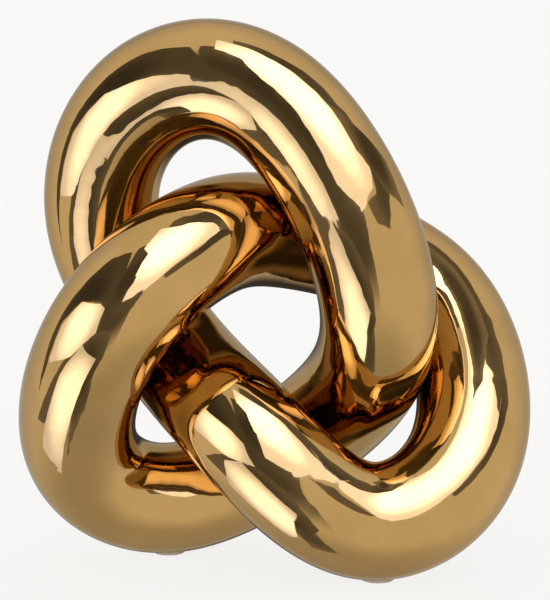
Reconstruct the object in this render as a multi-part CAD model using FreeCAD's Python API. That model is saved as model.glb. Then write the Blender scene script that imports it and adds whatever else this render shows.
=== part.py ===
import FreeCAD, Part
import math
import os

os.makedirs("parts", exist_ok=True)

# Metal knot sculpture, in millimetres. +Z is up, the front faces -Y, and the origin lies on the
# surface that the knot stands on, under the middle of its outline.
# One hollow tube runs round an endless three-lobed knot. It is made of lengths of two half shells,
# which meet on sleeves inside the tube and are riveted to them.

# Tube
tube_diameter = 38.0
tube_wall = 2.0
strand_gap = 0.6         # air between two strands where they cross

# Sleeve inside each cross joint
sleeve_length = 30.0
sleeve_wall = 1.6
sleeve_clearance = 0.15  # between the sleeve and the bore, all round

# Plug rivets through the half shells and the sleeve
rivet_diameter = 4.0
rivet_clearance = 0.05
rivet_offset = 8.0       # along the tube, from the cross joint
rivet_sink = 0.3         # how far the polished-over end lies under the tube's surface
rivet_tail = 1.2         # how far the upset end stands inside the sleeve
tail_diameter = 5.6

# Vent plug in the back of the right lobe
vent_diameter = 7.0
vent_clearance = 0.05
vent_flange_diameter = 11.0
vent_flange = 1.0

# Felt pads under the two lower lobes
pad_diameter = 11.0
pad_thickness = 1.0
pad_proud = 0.2          # how far the pad stands out past the tube's round underside

# The route of the tube's centreline: a closed smooth curve drawn by fifteen places, each given as
# shares of the knot's size to the right and up, and of one crossing to the back. The knot is drawn
# so tight that strands lie side by side as close as they cross, so its size follows from a crossing.
knot_per_crossing = 2.5907
route_shares = [
    (-0.46, -0.16, 0.82),   # top lobe, left shoulder
    (-0.65, 0.34, 0.32),    # under the left lobe
    (-0.26, 0.40, -0.19),   # left inner bend
    (-0.11, -0.66, -0.25),  # over the left lobe
    (0.28, -0.48, -0.72),   # right lobe, underside
    (0.74, -0.34, -0.44),   # right lobe, side
    (0.67, 1.12, 0.16),     # under the top lobe
    (0.03, 0.48, 0.34),     # upper inner bend
    (-0.20, -0.36, 0.34),   # upper inner bend, front end
    (-0.54, -0.94, 0.06),   # over the top lobe
    (-0.72, 0.20, -0.47),   # left lobe, side
    (-0.33, 0.40, -0.69),   # left lobe, underside
    (0.22, 0.80, -0.36),    # right inner bend, under the right lobe
    (0.45, -0.70, 0.04),    # over the right lobe
    (0.05, -0.34, 0.86),    # top lobe, right shoulder
]

# Cross joints, counted in places along the route. Every second one hides under a crossing strand.
joint_place_shares = [1.45, 3.35, 6.65, 9.0, 11.6, 13.35]
length_names = ["left_bend", "right_lobe", "upper_bend", "left_lobe", "right_bend", "top_lobe"]
low_right_share = 4.3        # near the right lobe's lowest point
low_left_share = 10.8        # near the left lobe's lowest point
vent_place_share = 4.8

places = len(route_shares)
station_spacing = 6.0        # about how far apart the cross-sections of a half shell lie
sleeve_stations = 9
tube_radius = tube_diameter / 2
bore_radius = tube_radius - tube_wall
sleeve_radius = bore_radius - sleeve_clearance
crossing_depth = tube_diameter + strand_gap
knot_size = crossing_depth * knot_per_crossing
overrun = tube_wall          # how far a cutting tool runs past what it cuts
back = FreeCAD.Vector(0, 1, 0)
upwards = FreeCAD.Vector(0, 0, 1)


def route_point(index):
    across, away, up = route_shares[index % places]
    return FreeCAD.Vector(across * knot_size, away * crossing_depth, up * knot_size)


def blend(weights, index):
    total = FreeCAD.Vector()
    for step, weight in enumerate(weights):
        total += route_point(index - 1 + step) * weight
    return total


def centre(place):
    index = math.floor(place)
    f = place - index
    weights = [
        (1 - f) ** 3 / 6,
        (3 * f ** 3 - 6 * f ** 2 + 4) / 6,
        (-3 * f ** 3 + 3 * f ** 2 + 3 * f + 1) / 6,
        f ** 3 / 6,
    ]
    return blend(weights, index)


def slope(place):
    index = math.floor(place)
    f = place - index
    weights = [
        -(1 - f) ** 2 / 2,
        (3 * f ** 2 - 4 * f) / 2,
        (-3 * f ** 2 + 2 * f + 1) / 2,
        f ** 2 / 2,
    ]
    return blend(weights, index)


def spread(start, end, count):
    # Even steps from start to end.
    return [start + (end - start) * i / (count - 1) for i in range(count)]


def spread_closer_at_ends(start, end, count):
    # A loft wanders between its last cross-sections unless they lie close together.
    turns = spread(0, math.pi, count)
    return [start + (end - start) * (1 - math.cos(turn)) / 2 for turn in turns]


def along(place, distance):
    # The place that lies this far along the centreline, walked in short steps.
    steps = 20
    for _ in range(steps):
        place += distance / steps / slope(place).Length
    return place


def lowest(place):
    # The lowest place of a lobe, from a place near it, by halving the stretch that holds it.
    start = place - 1
    end = place + 1
    for _ in range(40):
        middle = (start + end) / 2
        if slope(middle).z < 0:
            start = middle
        else:
            end = middle
    return middle


def station_count(start, end):
    # Enough cross-sections for this stretch of the route, however long it is.
    samples = [centre(place) for place in spread(start, end, 40)]
    length = sum(a.distanceToPoint(b) for a, b in zip(samples, samples[1:]))
    return math.ceil(length / station_spacing) + 1


def frame(place):
    # Along the tube, towards the back of the knot, and across both.
    forward = slope(place).normalize()
    rear = (back - forward * back.dot(forward)).normalize()
    side = forward.cross(rear)
    return forward, rear, side


def move_home():
    # How far the route moves, so that the origin lies under the middle of the tube's outline.
    samples = [centre(place) for place in spread(0, places, 40 * places + 1)]
    middle_x = (min(p.x for p in samples) + max(p.x for p in samples)) / 2
    middle_y = (min(p.y for p in samples) + max(p.y for p in samples)) / 2
    underside = centre(lowest(low_right_share)).z - tube_radius
    return FreeCAD.Vector(-middle_x, -middle_y, pad_proud - underside)


shift = move_home()


def ring_point(place, radius, angle):
    forward, rear, side = frame(place)
    turn = math.radians(angle)
    return centre(place) + shift + (side * math.cos(turn) + rear * math.sin(turn)) * radius


def ring_arc(place, radius, start, end):
    middle = (start + end) / 2
    points = [ring_point(place, radius, angle) for angle in (start, middle, end)]
    return Part.Arc(*points).toShape()


def half_ring(place, start):
    # The half shell's cross-section, from its first seam at this angle to its second.
    quarter = start + 90
    end = start + 180
    return Part.Wire([
        ring_arc(place, tube_radius, start, quarter),
        ring_arc(place, tube_radius, quarter, end),
        Part.makeLine(ring_point(place, tube_radius, end), ring_point(place, bore_radius, end)),
        ring_arc(place, bore_radius, end, quarter),
        ring_arc(place, bore_radius, quarter, start),
        Part.makeLine(ring_point(place, bore_radius, start), ring_point(place, tube_radius, start)),
    ])


def full_ring(place, radius):
    return Part.Wire([ring_arc(place, radius, turn, turn + 90) for turn in (0, 90, 180, 270)])


def half_shell(start_place, end_place, start_angle):
    count = station_count(start_place, end_place)
    run = spread_closer_at_ends(start_place, end_place, count)
    return Part.makeLoft([half_ring(place, start_angle) for place in run], True, False)


def sleeve(joint_place):
    ends = along(joint_place, -sleeve_length / 2), along(joint_place, sleeve_length / 2)
    run = spread_closer_at_ends(*ends, sleeve_stations)
    body = Part.makeLoft([full_ring(place, sleeve_radius) for place in run], True, False)
    reach = along(run[0], -overrun), along(run[-1], overrun)
    bore_run = spread_closer_at_ends(*reach, sleeve_stations)
    radius = sleeve_radius - sleeve_wall
    bore = Part.makeLoft([full_ring(place, radius) for place in bore_run], True, False)
    return body.cut(bore)


def post(place, direction, diameter, inner, outer):
    # A round post that stands out from the centreline, from one radius to another.
    start = centre(place) + shift + direction * inner
    return Part.makeCylinder(diameter / 2, outer - inner, start, direction)


def rivet_places(joint_place):
    # Each of the four rivets' place and direction: two each way from the joint, front and back.
    for distance in (-rivet_offset, rivet_offset):
        place = along(joint_place, distance)
        rear = frame(place)[1]
        yield place, rear
        yield place, -rear


def rivet(place, direction):
    inside = sleeve_radius - sleeve_wall
    shank = post(place, direction, rivet_diameter, inside, tube_radius - rivet_sink)
    # The tail is upset against the sleeve's round bore, so the bore shapes its foot.
    sagitta = inside - math.sqrt(inside ** 2 - (tail_diameter / 2) ** 2)
    tail = post(place, direction, tail_diameter, inside - sagitta - rivet_tail, inside - sagitta)
    neck = post(place, direction, rivet_diameter, inside - sagitta, inside)
    return shank.fuse([neck, tail]).removeSplitter()


def rivet_hole(place, direction):
    diameter = rivet_diameter + 2 * rivet_clearance
    inside = sleeve_radius - sleeve_wall
    return post(place, direction, diameter, inside - overrun, tube_radius + overrun)


def vent_hole():
    rear = frame(vent_place_share)[1]
    diameter = vent_diameter + 2 * vent_clearance
    return post(vent_place_share, rear, diameter, bore_radius - overrun, tube_radius + overrun)


def vent_plug():
    # A stem that fills the hole, on a flange that bears on the bore.
    rear = frame(vent_place_share)[1]
    stem = post(vent_place_share, rear, vent_diameter, bore_radius - overrun, tube_radius - rivet_sink)
    flange_radius = vent_flange_diameter / 2
    seat = math.sqrt(bore_radius ** 2 - flange_radius ** 2) - vent_clearance
    flange = post(vent_place_share, rear, vent_flange_diameter, seat - vent_flange, seat)
    return stem.fuse(flange).removeSplitter()


def pad(lobe_place):
    spot = centre(lowest(lobe_place)) + shift
    foot = FreeCAD.Vector(spot.x, spot.y, 0)
    return Part.makeCylinder(pad_diameter / 2, pad_thickness, foot, upwards)


def floor_cut(shape):
    # The flat that is ground on a lobe's underside for its pad.
    box = shape.BoundBox
    if box.ZMin >= pad_thickness:
        return shape
    corner = FreeCAD.Vector(box.XMin - overrun, box.YMin - overrun, box.ZMin - overrun)
    width = box.XLength + 2 * overrun
    depth = box.YLength + 2 * overrun
    return shape.cut(Part.makeBox(width, depth, pad_thickness - corner.z, corner))


def drill(shape, cutters):
    for cutter in cutters:
        if cutter.BoundBox.intersect(shape.BoundBox):
            shape = shape.cut(cutter)
    return shape


def save(shape, name):
    shape.exportStep(f"parts/{name}.step")


holes = []
for number, joint_place in enumerate(joint_place_shares, start=1):
    rivets = list(rivet_places(joint_place))
    joint_holes = [rivet_hole(place, direction) for place, direction in rivets]
    holes += joint_holes
    save(drill(sleeve(joint_place), joint_holes), f"joint_{number}_sleeve")
    save(Part.makeCompound([rivet(place, direction) for place, direction in rivets]), f"joint_{number}_rivets")

holes.append(vent_hole())
for number, name in enumerate(length_names):
    start = joint_place_shares[number]
    end = joint_place_shares[(number + 1) % len(length_names)]
    if end < start:
        end += places
    for side_name, start_angle in (("back", 0), ("front", 180)):
        shell = drill(floor_cut(half_shell(start, end, start_angle)), holes)
        save(shell, f"{name}_{side_name}_shell")

save(vent_plug(), "vent_plug")
save(pad(low_left_share), "left_rest_pad")
save(pad(low_right_share), "right_rest_pad")
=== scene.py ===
import math

import bpy
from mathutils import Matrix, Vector


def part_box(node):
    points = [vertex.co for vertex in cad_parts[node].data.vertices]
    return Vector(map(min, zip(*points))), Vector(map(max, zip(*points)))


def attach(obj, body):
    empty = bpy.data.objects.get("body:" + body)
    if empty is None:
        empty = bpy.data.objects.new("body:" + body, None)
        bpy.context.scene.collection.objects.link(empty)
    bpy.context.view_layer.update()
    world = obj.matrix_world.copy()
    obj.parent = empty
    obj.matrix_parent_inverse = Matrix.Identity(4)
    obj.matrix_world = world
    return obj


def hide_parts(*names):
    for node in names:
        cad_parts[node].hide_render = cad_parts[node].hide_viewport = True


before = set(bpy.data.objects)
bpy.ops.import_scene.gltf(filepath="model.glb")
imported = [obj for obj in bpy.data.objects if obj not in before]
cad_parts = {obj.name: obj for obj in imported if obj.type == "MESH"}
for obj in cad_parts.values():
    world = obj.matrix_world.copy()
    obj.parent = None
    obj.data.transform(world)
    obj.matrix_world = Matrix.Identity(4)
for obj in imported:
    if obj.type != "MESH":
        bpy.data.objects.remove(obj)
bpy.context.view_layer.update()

# The tube: twelve half shells of pressed brass sheet, gold plated, mirror polished and lacquered.
# They meet along the tube and end to end, and the seams are soldered, filed flush and polished
# away, so the knot looks like one endless round tube. Each is a hollow half with its own wall.
tube_radius = 0.019
wall = 0.002
knot_size = 0.100
crossing = 0.0386
home = Vector((-0.002603, -0.002614, 0.079317))
ground_flat = 0.001
ring_step = 5
station_step = 0.0016
measuring_steps = 60
route = [
    (-0.46, -0.16, 0.82), (-0.65, 0.34, 0.32), (-0.26, 0.40, -0.19), (-0.11, -0.66, -0.25),
    (0.28, -0.48, -0.72), (0.74, -0.34, -0.44), (0.67, 1.12, 0.16), (0.03, 0.48, 0.34),
    (-0.20, -0.36, 0.34), (-0.54, -0.94, 0.06), (-0.72, 0.20, -0.47), (-0.33, 0.40, -0.69),
    (0.22, 0.80, -0.36), (0.45, -0.70, 0.04), (0.05, -0.34, 0.86),
]
joints = [1.45, 3.35, 6.65, 9.0, 11.6, 13.35]
lengths = ["left_bend", "right_lobe", "upper_bend", "left_lobe", "right_bend", "top_lobe"]


def along_route(place, weights):
    spot = Vector()
    for step, weight in enumerate(weights):
        across, away, up = route[(math.floor(place) - 1 + step) % len(route)]
        spot += weight * Vector((across * knot_size, away * crossing, up * knot_size))
    return spot


def centre(place):
    past = place % 1
    pull = [
        (1 - past) ** 3,
        3 * past ** 3 - 6 * past ** 2 + 4,
        -3 * past ** 3 + 3 * past ** 2 + 3 * past + 1,
        past ** 3,
    ]
    return home + along_route(place, [weight / 6 for weight in pull])


def heading(place):
    past = place % 1
    pull = [
        -(1 - past) ** 2,
        3 * past ** 2 - 4 * past,
        -3 * past ** 2 + 2 * past + 1,
        past ** 2,
    ]
    return along_route(place, [weight / 2 for weight in pull])


def ring(place, first_angle):
    # The centre of the tube at this place, and the directions from it to one half of the wall.
    forward = heading(place).normalized()
    rear = Vector((0, 1, 0))
    rear = (rear - forward * rear.dot(forward)).normalized()
    side = forward.cross(rear)
    turns = [math.radians(first_angle + turn) for turn in range(0, 181, ring_step)]
    return centre(place), [side * math.cos(turn) + rear * math.sin(turn) for turn in turns]


def mesh_piece(name, points, faces, normals, material):
    mesh = bpy.data.meshes.new(name)
    mesh.from_pydata(points, [], faces)
    mesh.shade_smooth()
    mesh.normals_split_custom_set(normals)
    mesh.materials.append(material)
    piece = bpy.data.objects.new(name, mesh)
    bpy.context.scene.collection.objects.link(piece)
    return piece


def half_shell(name, start, end, first_angle, material):
    measured = [
        centre(start + (end - start) * i / measuring_steps) for i in range(measuring_steps + 1)
    ]
    travel = sum((b - a).length for a, b in zip(measured, measured[1:]))
    count = math.ceil(travel / station_step)
    columns = 180 // ring_step + 1
    last = columns - 1
    points, outward = [], []
    for i in range(count + 1):
        middle, rays = ring(start + (end - start) * i / count, first_angle)
        for radius in (tube_radius, tube_radius - wall):
            for ray in rays:
                spot = middle + ray * radius
                ground = spot.z < ground_flat and radius == tube_radius
                points.append((spot.x, spot.y, max(spot.z, ground_flat)))
                outward.append(Vector((0, 0, -1)) if ground else ray)

    def at(station, layer, column):
        # Layer 0 is the outer face of the wall, and layer 1 the inner.
        return (station * 2 + layer) * columns + column

    faces, normals = [], []
    outer, inner, cut = 1, -1, 0

    def add(corners, kind):
        a, b, c = (Vector(points[corner]) for corner in corners[:3])
        flat = (b - a).cross(c - a).normalized()
        faces.append(corners)
        normals.extend(flat if kind == cut else outward[corner] * kind for corner in corners)

    for i in range(count):
        for j in range(last):
            add([at(i, 0, j), at(i + 1, 0, j), at(i + 1, 0, j + 1), at(i, 0, j + 1)], outer)
            add([at(i, 1, j), at(i, 1, j + 1), at(i + 1, 1, j + 1), at(i + 1, 1, j)], inner)
        add([at(i, 0, 0), at(i, 1, 0), at(i + 1, 1, 0), at(i + 1, 0, 0)], cut)
        add([at(i, 0, last), at(i + 1, 0, last), at(i + 1, 1, last), at(i, 1, last)], cut)
    for j in range(last):
        add([at(0, 0, j), at(0, 0, j + 1), at(0, 1, j + 1), at(0, 1, j)], cut)
        add([at(count, 0, j), at(count, 1, j), at(count, 1, j + 1), at(count, 0, j + 1)], cut)
    return mesh_piece(name, points, faces, normals, material)


class Wire:
    """A value on its way through a material. Sums and products of wires add Math nodes."""

    def __init__(self, tree, socket=None):
        self.tree = tree
        self.socket = socket

    def node(self, kind, inputs=None, settings=None, out=0):
        made = self.tree.nodes.new("ShaderNode" + kind)
        for setting, value in (settings or {}).items():
            setattr(made, setting, value)
        for name, value in (inputs or {}).items():
            if isinstance(value, Wire):
                self.tree.links.new(value.socket, made.inputs[name])
            else:
                made.inputs[name].default_value = value
        return Wire(self.tree, made.outputs[out] if made.outputs else None)

    def maths(self, operation, *values):
        return self.node("Math", dict(enumerate(values)), {"operation": operation})

    def __add__(self, other):
        return self.maths("ADD", self, other)

    def __sub__(self, other):
        return self.maths("SUBTRACT", self, other)

    def __rsub__(self, other):
        return self.maths("SUBTRACT", other, self)

    def __mul__(self, other):
        return self.maths("MULTIPLY", self, other)

    __radd__ = __add__
    __rmul__ = __mul__


def new_material(name):
    material = bpy.data.materials.new(name)
    material.use_nodes = True
    material.node_tree.nodes.clear()
    return material, Wire(material.node_tree)


def surface(wire, shader):
    wire.node("OutputMaterial", {"Surface": shader})


def noise(wire, scale, detail):
    spot = wire.node("TexCoord", out="Object")
    return wire.node("TexNoise", {"Vector": spot, "Scale": scale, "Detail": detail})


def between(wire, share, low, high):
    return wire.node("MapRange", {"Value": share, "To Min": low, "To Max": high})


def blend(wire, share, first, second):
    # A Mix node takes its two colours in sockets 6 and 7, and gives the mixed one in socket 2.
    inputs = {"Factor": share, 6: first, 7: second}
    return wire.node("Mix", inputs, {"data_type": "RGBA"}, out=2)


deep_gold = (0.52, 0.307, 0.092, 1)
pale_gold = (0.60, 0.358, 0.118, 1)
rim_tint = (0.88, 0.79, 0.64, 1)
wave_depth = 0.00035
dent_share = 0.3
hairline_depth = 0.00001

polished_gold, wire = new_material("polished_gold")
hand_waves = noise(wire, 38.0, 1.5)
polish_dents = noise(wire, 120.0, 1.0)
smears = between(wire, noise(wire, 55.0, 4.0), -0.6, 1.6)
wiped = wire.node("MapRange", {
    "Value": noise(wire, 42.0, 5.0),
    "From Min": 0.46, "From Max": 0.72,
    "To Min": 0.0, "To Max": 0.18,
})
hairlines = noise(wire, 2400.0, 2.0)
gold_colour = blend(wire, smears, deep_gold, pale_gold)
waves = wire.node("Bump", {
    "Height": hand_waves + dent_share * polish_dents,
    "Strength": 1.0,
    "Distance": wave_depth,
})
marks = wire.node("Bump", {
    "Height": hairlines,
    "Strength": 0.02,
    "Distance": hairline_depth,
    "Normal": waves,
})
mirror = wire.node("BsdfPrincipled", {
    "Base Color": gold_colour,
    "Metallic": 1.0,
    "Roughness": between(wire, smears, 0.012, 0.04),
    "Specular Tint": rim_tint,
    "Coat Weight": 0.6,
    "Coat Roughness": 0.02,
    "Normal": marks,
})
haze = wire.node("BsdfPrincipled", {
    "Base Color": gold_colour,
    "Metallic": 1.0,
    "Roughness": 0.22,
    "Specular Tint": rim_tint,
    "Normal": marks,
})
surface(wire, wire.node("MixShader", {0: wiped, 1: mirror, 2: haze}))

for number, length in enumerate(lengths):
    start = joints[number]
    end = joints[(number + 1) % len(joints)]
    if end < start:
        end += len(route)
    for side, first_angle in (("back", 0), ("front", 180)):
        shell = half_shell(f"{length}_{side}_half", start, end, first_angle, polished_gold)
        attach(shell, "root")
        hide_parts(f"{length}_{side}_shell")

# Inside the tube: brass sleeves that the shells are pushed onto, the plug rivets that hold them
# there, and the plug that closes the vent. They are turned or sawn from tube and rod, left as
# machined, and shut in when the last shell is soldered.
bright_brass = (0.60, 0.42, 0.17, 1)
dull_brass = (0.44, 0.30, 0.13, 1)
tool_mark_depth = 0.00003

turned_brass, wire = new_material("turned_brass")
tool_marks = noise(wire, 900.0, 3.0)
tarnish = noise(wire, 70.0, 3.0)
surface(wire, wire.node("BsdfPrincipled", {
    "Base Color": blend(wire, tarnish, bright_brass, dull_brass),
    "Metallic": 1.0,
    "Roughness": between(wire, tarnish, 0.25, 0.42),
    "Normal": wire.node("Bump", {
        "Height": tool_marks,
        "Strength": 0.3,
        "Distance": tool_mark_depth,
    }),
}))
for name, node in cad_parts.items():
    if name.endswith(("_sleeve", "_rivets", "_plug")):
        node.data.materials.clear()
        node.data.materials.append(turned_brass)

# Felt discs: two circles punched from bleached white wool felt, glued to the flats that are
# ground on the undersides of the two lower lobes. The knot stands on them.
felt_height = 0.001
felt_round = 0.00025
felt_turns = 64
felt_crease = 40
grey_wool = (0.80, 0.78, 0.74, 1)
white_wool = (0.93, 0.91, 0.87, 1)
fibre_depth = 0.0002
fibre_share = 0.6

wool_felt, wire = new_material("wool_felt")
fibres = noise(wire, 2600.0, 5.0)
clumps = noise(wire, 700.0, 3.0)
tufts = fibres * fibre_share + clumps * (1 - fibre_share)
surface(wire, wire.node("BsdfPrincipled", {
    "Base Color": blend(wire, tufts, grey_wool, white_wool),
    "Roughness": 0.95,
    "Sheen Weight": 0.4,
    "Normal": wire.node("Bump", {"Height": fibres, "Strength": 0.8, "Distance": fibre_depth}),
}))


def felt_disc(name, spot, radius):
    rings = [
        (radius / 2, 0), (radius - felt_round, 0), (radius, felt_round),
        (radius, felt_height - felt_round), (radius - felt_round, felt_height),
        (radius / 2, felt_height),
    ]
    points, faces = [], []
    for reach, height in rings:
        for turn in range(felt_turns):
            angle = math.tau * turn / felt_turns
            x, y = spot.x + reach * math.cos(angle), spot.y + reach * math.sin(angle)
            points.append((x, y, height))
    top = (len(rings) - 1) * felt_turns
    for low in range(0, top, felt_turns):
        high = low + felt_turns
        for turn in range(felt_turns):
            after = (turn + 1) % felt_turns
            faces.append([low + turn, low + after, high + after, high + turn])
    points += [(spot.x, spot.y, 0), (spot.x, spot.y, felt_height)]
    for turn in range(felt_turns):
        after = (turn + 1) % felt_turns
        faces.append([after, turn, len(points) - 2])
        faces.append([top + turn, top + after, len(points) - 1])
    mesh = bpy.data.meshes.new(name)
    mesh.from_pydata(points, [], faces)
    mesh.shade_smooth()
    mesh.set_sharp_from_angle(angle=math.radians(felt_crease))
    mesh.materials.append(wool_felt)
    piece = bpy.data.objects.new(name, mesh)
    bpy.context.scene.collection.objects.link(piece)
    return piece


for side in ("left", "right"):
    low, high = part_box(f"{side}_rest_pad")
    disc = felt_disc(f"{side}_felt_disc", (low + high) / 2, (high.x - low.x) / 2)
    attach(disc, "root")
    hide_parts(f"{side}_rest_pad")

# The floor: a wide sheet of matt white paper, laid flat under the knot and curled up into a low
# wall all round. It keeps the knot's shadow near by, and is plain white further out.
flat_rings = [0.001, 0.3, 0.8, 1.6]
floor_reach = flat_rings[-1]
curl = 0.5
curl_steps = 12
wall_top = 1.7
floor_sides = 96
shadow_reach = 0.15
white_reach = 0.45
paper_white = (0.945, 0.938, 0.922, 1)
paper_glow = 0.9


def seen_by_camera(wire):
    # 1 for what the camera sees, also in metal or through glass, and 0 for light on the object.
    kinds = ("Is Camera Ray", "Is Glossy Ray", "Is Transmission Ray")
    return wire.maths("MINIMUM", sum(wire.node("LightPath", out=kind) for kind in kinds), 1.0)


white_paper, wire = new_material("white_paper")
spot = wire.node("NewGeometry", out="Position")
distance = wire.node("VectorMath", {0: spot}, {"operation": "LENGTH"}, out="Value")
far = wire.node("MapRange", {
    "Value": distance,
    "From Min": shadow_reach, "From Max": white_reach,
})
surface(wire, wire.node("MixShader", {
    0: seen_by_camera(wire) * between(wire, far, paper_glow, 1.0),
    1: wire.node("BsdfDiffuse", {"Color": paper_white}),
    2: wire.node("Emission", {"Color": paper_white, "Strength": 1.0}),
}))

profile = [(reach, 0) for reach in flat_rings]
for step in range(1, curl_steps + 1):
    angle = math.pi / 2 * step / curl_steps
    profile.append((floor_reach + curl * math.sin(angle), curl * (1 - math.cos(angle))))
profile.append((floor_reach + curl, wall_top))
angles = [math.tau * i / floor_sides for i in range(floor_sides)]
points = [
    (reach * math.cos(angle), reach * math.sin(angle), height)
    for reach, height in profile for angle in angles
]
faces = [
    [a * floor_sides + i, a * floor_sides + (i + 1) % floor_sides,
     (a + 1) * floor_sides + (i + 1) % floor_sides, (a + 1) * floor_sides + i]
    for a in range(len(profile) - 1) for i in range(floor_sides)
]
faces.append(list(range(floor_sides))[::-1])
mesh = bpy.data.meshes.new("paper_floor")
mesh.from_pydata(points, [], faces)
mesh.shade_smooth()
mesh.materials.append(white_paper)
floor = bpy.data.objects.new("paper_floor", mesh)
# The metal doesn't mirror the sheet, so it does mirror the cards that hang lower than the sheet.
floor.visible_glossy = False
bpy.context.scene.collection.objects.link(floor)

# The studio: a white room with soft boxes on the left, low on the left and above on the right.
# Dark screens between them and thin gauzes give the polished tube its dark and brown bands; the
# dark gauze behind the knot is painted shadow: the knot's own shadow on the floor, as mirrored.
# The directions to them are turns to the right of the camera and heights, in degrees.
middle = Vector((0, 0, 0.09))
room_light = 0.86
room_blue = 0.96
rear_loss = 0.40
floor_loss = 0.40
box_red = 0.88
box_blue = 1.45
fade_start = 0.3

world = bpy.data.worlds.new("white_room")
bpy.context.scene.world = world
world.use_nodes = True
world.node_tree.nodes.clear()
wire = Wire(world.node_tree)
direction = wire.node("TexCoord", out="Generated")


def side_of_room(axis, start, end):
    # How far a direction points to that side of the room: 0 up to the start, 1 from the end on.
    value = wire.node("SeparateXYZ", {"Vector": direction}, out=axis)
    inputs = {"Value": value, "From Min": start, "From Max": end}
    return wire.node("MapRange", inputs, {"interpolation_type": "SMOOTHSTEP"})


rear_dimming = 1 - rear_loss * side_of_room("Y", 0.0, 0.95)
floor_dimming = 1 - floor_loss * side_of_room("Z", -0.5, -1.0)
reflected = room_light * rear_dimming * floor_dimming
room = wire.node("CombineColor", {
    "Red": reflected,
    "Green": reflected,
    "Blue": reflected * room_blue,
})
plain_white = (1, 1, 1, 1)
light = wire.node("Background", {
    "Color": blend(wire, seen_by_camera(wire), plain_white, room),
    "Strength": 1.0,
})
wire.node("OutputWorld", {"Surface": light})


def towards(turn, height):
    turn, height = math.radians(turn), math.radians(height)
    level = math.cos(height)
    return Vector((level * math.sin(turn), -level * math.cos(turn), math.sin(height)))


def card(name, distance, heart, edge, corners):
    # A flat card that faces the knot, with its corners in these directions: the front of a soft
    # box or a dark screen. Its light is given for its heart and for its edge; with no edge, it is
    # a gauze that thins out to nothing there.
    aims = [towards(turn, height) for turn, height in corners]
    facing = sum(aims, Vector()).normalized()
    points = [middle + aim * (distance / aim.dot(facing)) for aim in aims]
    heart_spot = sum(points, Vector()) / len(points)
    reach = sum((point - heart_spot).length for point in points) / len(points)
    material, wire = new_material(name)
    spot = wire.node("NewGeometry", out="Position")
    off_heart = wire.node(
        "VectorMath", {0: spot, 1: heart_spot}, {"operation": "DISTANCE"}, out="Value")
    share = wire.node(
        "MapRange", {"Value": off_heart, "From Min": reach * fade_start, "From Max": reach},
        {"interpolation_type": "SMOOTHSTEP"})
    red, blue = (box_red, box_blue) if heart > 1 else (1.0, 1.0)
    shades = [(light * red, light, light * blue, 1) for light in (heart, edge or heart)]
    glow = wire.node("Emission", {"Color": blend(wire, share, *shades), "Strength": 1.0})
    if edge is None:
        glow = wire.node("MixShader", {0: share, 1: glow, 2: wire.node("BsdfTransparent")})
    surface(wire, glow)
    mesh = bpy.data.meshes.new(name)
    mesh.from_pydata(points, [], [range(len(points))])
    mesh.materials.append(material)
    piece = bpy.data.objects.new(name, mesh)
    piece.visible_camera = False
    piece.visible_diffuse = False
    bpy.context.scene.collection.objects.link(piece)


card("left_soft_box", 1.1, 3.2, 1.5, [
    (-86, -10), (-54, -19), (-26, -12), (-27, 8), (-38, 15), (-68, 21), (-85, 8),
])
card("low_soft_box", 1.2, 3.0, 1.3, [
    (-96, -43), (-64, -25), (-34, -12), (-12, -36), (-28, -49), (-60, -66), (-82, -66),
])
card("upper_soft_box", 1.0, 4.8, 2.0, [
    (-5, 28), (-7, 5), (14, 5), (52, 25), (68, 32), (64, 48),
    (50, 61), (30, 68), (-6, 74), (-30, 76), (-22, 58), (-7, 50),
])
card("dark_bar_left", 0.98, 0.06, 0.12, [
    (-96, -20), (-88, -10), (-87, 10), (-68, 21), (-40, 17),
    (-24, 8), (-22, 32), (-42, 57), (-78, 50), (-97, 14),
])
card("dark_bar_front", 1.12, 0.08, 0.14, [
    (-34, 60), (-24, 62), (-6, 54), (-3, 28), (-6, 6), (14, 8), (12, -5), (-15, -4), (-24, 26),
])
card("dark_bar_low", 1.3, 0.08, 0.20, [
    (-98, -30), (-62, -18), (-20, -12), (-4, -20), (-4, -42), (-24, -56), (-40, -54),
])
card("dark_bar_right", 1.14, 0.12, 0.20, [
    (30, 14), (52, 22), (74, 36), (86, 52), (94, 46), (86, 26), (54, 12), (34, 8),
])
card("dark_bar_top", 1.12, 0.12, 0.18, [
    (-4, 75), (30, 67), (49, 60), (63, 48), (67, 33), (80, 40), (92, 54), (66, 72), (0, 82),
])
card("dark_flag_right", 0.115, 0.10, 0.30, [
    (44, 42), (62, 31), (84, 26), (92, 40), (66, 52), (44, 58),
])
# Painted shadow: a dark gauze behind and below the knot that stands in for the knot's own shadow
# on the floor, as the tube would mirror it in its lower rims and middle hole.
card("painted_floor_shadow", 0.25, 0.05, None, [
    (150, -44), (146, -16), (158, 6), (200, 10), (222, -8), (222, -36), (200, -54), (164, -54),
])
card("rear_gauze", 1.4, 0.48, None, [
    (130, 4), (130, 40), (180, 52), (230, 40), (230, 4), (180, -14),
])
card("brown_gauze", 1.65, 0.12, None, [
    (-60, 48), (-44, 0), (-20, -54), (4, -52), (10, -8), (18, 8), (12, 22), (-16, 60), (-44, 68),
])
card("brown_screen_low", 1.5, 0.14, 0.24, [
    (-43, -58), (-30, -46), (-12, -48), (-10, -70), (-60, -72),
])

# The camera, level with the upper part of the knot and looking slightly down on it. Its shift
# sets the knot where it stands in the frame.
frame_height = 600
camera = bpy.data.objects.new("camera", bpy.data.cameras.new("camera"))
camera.location = (-0.002603, -0.457369, 0.127114)
camera.rotation_euler = (math.radians(84), 0, 0)
camera.data.lens = 82.74
camera.data.sensor_width = 36
camera.data.shift_x = 5 / frame_height
camera.data.shift_y = 30 / frame_height
camera.data.clip_start = 0.01
bpy.context.scene.collection.objects.link(camera)
bpy.context.scene.camera = camera
bpy.context.scene.view_settings.view_transform = "Standard"
